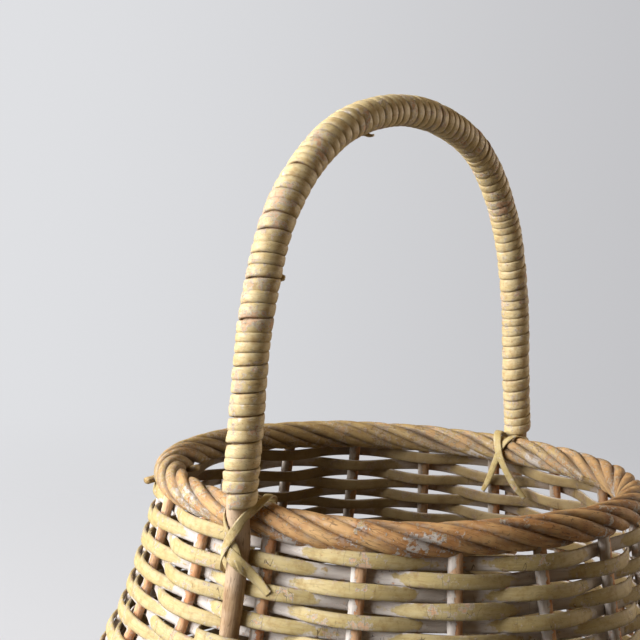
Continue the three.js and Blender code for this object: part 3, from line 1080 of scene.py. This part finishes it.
FLOOR_R = 1.1
FLOOR_CLEAR = 0.2
FLOOR_TONE = tone(128, 129, 131)
FLOOR_GLOW = tone(220, 221, 224)
FLOOR_GLOW_STRENGTH = 0.63


def add_camera():
    """The photo's view: round and above the border's middle, then turned, tipped and rolled a little."""
    camera = bpy.data.objects.new("camera", bpy.data.cameras.new("camera"))
    camera.data.lens = CAMERA_LENS
    camera.data.clip_start = 0.01
    reach = CAMERA_DISTANCE * math.cos(CAMERA_ELEVATION)
    place = Vector((0, -reach, CAMERA_DISTANCE * math.sin(CAMERA_ELEVATION)))
    turn = Matrix.Rotation(-CAMERA_AZIMUTH, 4, "Z")
    aim = (
        turn
        @ Matrix.Rotation(CAMERA_YAW, 4, "Z")
        @ Matrix.Rotation(math.pi / 2 + CAMERA_PITCH, 4, "X")
        @ Matrix.Rotation(CAMERA_ROLL, 4, "Z")
    )
    camera.matrix_world = Matrix.Translation(turn @ place + Vector((0, 0, RIM_Z))) @ aim
    bpy.context.scene.collection.objects.link(camera)
    bpy.context.scene.camera = camera


def add_light(name, azimuth, elevation, distance, size, power, colour):
    """An area light aimed at the basket; azimuth 0 is the camera's own side, positive to its right."""
    data = bpy.data.lights.new(name, "AREA")
    data.shape = "RECTANGLE"
    data.size, data.size_y = size
    data.energy = power
    data.color = colour
    light = bpy.data.objects.new(name, data)
    turn = math.radians(azimuth) - CAMERA_AZIMUTH - math.pi / 2
    high = math.radians(elevation)
    way = Vector((math.cos(turn) * math.cos(high), math.sin(turn) * math.cos(high), math.sin(high)))
    light.location = LIGHT_AIM + way * distance
    light.rotation_euler = way.to_track_quat("Z", "Y").to_euler()
    light.visible_camera = False
    bpy.context.scene.collection.objects.link(light)


def add_world():
    """A pale backdrop with painted light, brighter to the left on the window's side, and a weak even fill.
    """
    world = bpy.data.worlds.new("studio")
    g = Graph(world)
    direction = g.node("ShaderNodeTexCoord", {}).outputs["Generated"]
    left = (-math.cos(CAMERA_AZIMUTH), math.sin(CAMERA_AZIMUTH), 0)
    to_left = g.node("ShaderNodeVectorMath", {0: direction, 1: left}, operation="DOT_PRODUCT")
    share = g.band(to_left.outputs["Value"], *BACKDROP_BLEND)
    seen = g.node("ShaderNodeBackground", {"Color": g.mix(share, BACKDROP_SHADED_RIGHT, BACKDROP_LIT_LEFT)})
    fill = g.node("ShaderNodeBackground", {"Color": FILL_COLOUR, "Strength": FILL_STRENGTH})
    by_camera = g.node("ShaderNodeLightPath", {}).outputs["Is Camera Ray"]
    both = g.node("ShaderNodeMixShader", {0: by_camera, 1: fill.outputs[0], 2: seen.outputs[0]})
    g.node("ShaderNodeOutputWorld", {"Surface": both.outputs[0]})
    bpy.context.scene.world = world


def add_floor():
    """A pale round floor that fades into the backdrop away from the basket."""
    rim = [(FLOOR_R * math.cos(turn), FLOOR_R * math.sin(turn), 0) for turn in ring_angles(96)]
    mesh = bpy.data.meshes.new("floor")
    mesh.from_pydata(rim, [], [list(range(len(rim)))])
    floor = bpy.data.objects.new("floor", mesh)
    g = MaterialGraph("pale_floor")
    place = g.node("ShaderNodeTexCoord", {}).outputs["Object"]
    away = g.node("ShaderNodeVectorMath", {0: place}, operation="LENGTH").outputs["Value"]
    shown = g.band(away, FLOOR_CLEAR, FLOOR_R * 0.9, 1.0, 0.0)
    g.plug(g.shader, "Base Color", FLOOR_TONE)
    g.plug(g.shader, "Roughness", 0.8)
    g.plug(g.shader, "Alpha", shown)
    g.plug(g.shader, "Emission Color", FLOOR_GLOW)
    seen = g.node("ShaderNodeLightPath", {}).outputs["Is Camera Ray"]
    g.plug(g.shader, "Emission Strength", g.math("MULTIPLY", seen, FLOOR_GLOW_STRENGTH))
    mesh.materials.append(g.material)
    bpy.context.scene.collection.objects.link(floor)


# ---------------------------------------------------------------- the basket, built in a fixed order

bpy.context.scene.view_settings.view_transform = "Standard"
add_camera()
all_stakes(materials["stake"])
all_weavers(materials["peel"])
all_strands(materials["rim"])
for tip in ROD_TIPS:
    rod_tip(*tip, materials["rim"])
handle_core(materials["core"])
handle_wrap(materials["cane"])
for end in CANE_ENDS:
    cane_end(*end, materials["cane"])
all_lashings(materials["strip"])
add_world()
add_floor()
for light in LIGHTS:
    add_light(*light)
